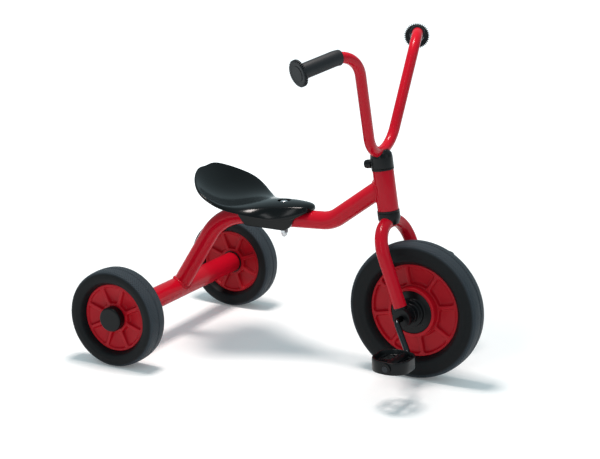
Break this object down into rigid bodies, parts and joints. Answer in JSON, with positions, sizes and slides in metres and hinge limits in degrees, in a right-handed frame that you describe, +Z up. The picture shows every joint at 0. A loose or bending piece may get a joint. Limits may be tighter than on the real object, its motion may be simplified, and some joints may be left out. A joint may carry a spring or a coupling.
{
  "type": "child's tricycle",
  "caption": "Small pedal tricycle with a bent tube frame, forked front wheel with cranks and pedals on its axle, swept handlebar and a dished moulded saddle.",
  "frame": {"origin": "centre of the bounding box on the floor plane, with the three tyres standing on z = 0", "axes": "-Y the way the tricycle drives, +X the rider's left, +Z up"},
  "size_m": [0.4774, 0.7114, 0.6002],
  "materials": {
    "red_enamel": "glossy",
    "red_moulded_plastic": "satin gloss",
    "black_gloss_plastic": "glossy",
    "black_plastic": "satin",
    "black_rubber": "matt",
    "black_nylon": "satin",
    "zinc_plated_steel": "bright zinc plated",
    "dark_steel": "blackened"
  },
  "bodies": {
    "frame": {"main_tube": "red_enamel", "rear_axle_tube": "red_enamel", "head_tube": "red_enamel", "head_bush_lower": "black_plastic", "head_bush_upper": "black_plastic", "saddle": "black_gloss_plastic", "saddle_bolt": "zinc_plated_steel", "saddle_washer": "zinc_plated_steel", "saddle_cap_nut": "zinc_plated_steel", "rear_axle_rod": "zinc_plated_steel", "axle_plug_left": "black_plastic", "axle_plug_right": "black_plastic", "axle_washer_left": "zinc_plated_steel", "axle_washer_right": "zinc_plated_steel", "axle_nut_left": "zinc_plated_steel", "axle_nut_right": "zinc_plated_steel"},
    "fork": {"fork_tube": "red_enamel", "steerer_tube": "zinc_plated_steel", "crown_cover": "black_plastic", "bar_stem": "zinc_plated_steel", "bar_collar": "black_plastic", "handlebar": "red_enamel", "clamp_screw": "zinc_plated_steel", "clamp_cap": "black_plastic", "grip_left": "black_rubber", "grip_right": "black_rubber", "crank_bearing_left": "black_plastic", "crank_bearing_right": "black_plastic"},
    "front_wheel": {"front_rim": "red_moulded_plastic", "front_tyre": "black_rubber", "hub_flange_left": "black_plastic", "hub_flange_right": "black_plastic", "crank_axle": "dark_steel", "pedal_retainer_left": "zinc_plated_steel", "pedal_retainer_right": "zinc_plated_steel"},
    "pedal_left": {"pedal_left": "black_plastic"},
    "pedal_right": {"pedal_right": "black_plastic"},
    "rear_wheel_left": {"rear_rim_left": "red_moulded_plastic", "rear_tyre_left": "black_rubber", "wheel_bush_left": "black_nylon", "hub_cap_left": "black_plastic"},
    "rear_wheel_right": {"rear_rim_right": "red_moulded_plastic", "rear_tyre_right": "black_rubber", "wheel_bush_right": "black_nylon", "hub_cap_right": "black_plastic"}
  },
  "joints": [
    {"name": "steering", "type": "hinge", "parent": "frame", "child": "fork", "pos_m": [0, -0.17438, 0.29709], "axis": [0, 0.1564, 0.9877], "continuous": true},
    {"name": "front_wheel_spin", "type": "hinge", "parent": "fork", "child": "front_wheel", "pos_m": [0, -0.23225, 0.1235], "axis": [1, 0, 0], "continuous": true},
    {"name": "pedal_left_spin", "type": "hinge", "parent": "front_wheel", "child": "pedal_left", "pos_m": [0.15425, -0.19848, 0.1693], "axis": [1, 0, 0], "continuous": true},
    {"name": "pedal_right_spin", "type": "hinge", "parent": "front_wheel", "child": "pedal_right", "pos_m": [-0.15425, -0.26602, 0.0777], "axis": [1, 0, 0], "continuous": true},
    {"name": "rear_wheel_left_spin", "type": "hinge", "parent": "frame", "child": "rear_wheel_left", "pos_m": [0.2047, 0.26575, 0.09], "axis": [1, 0, 0], "continuous": true},
    {"name": "rear_wheel_right_spin", "type": "hinge", "parent": "frame", "child": "rear_wheel_right", "pos_m": [-0.2047, 0.26575, 0.09], "axis": [1, 0, 0], "continuous": true}
  ]
}
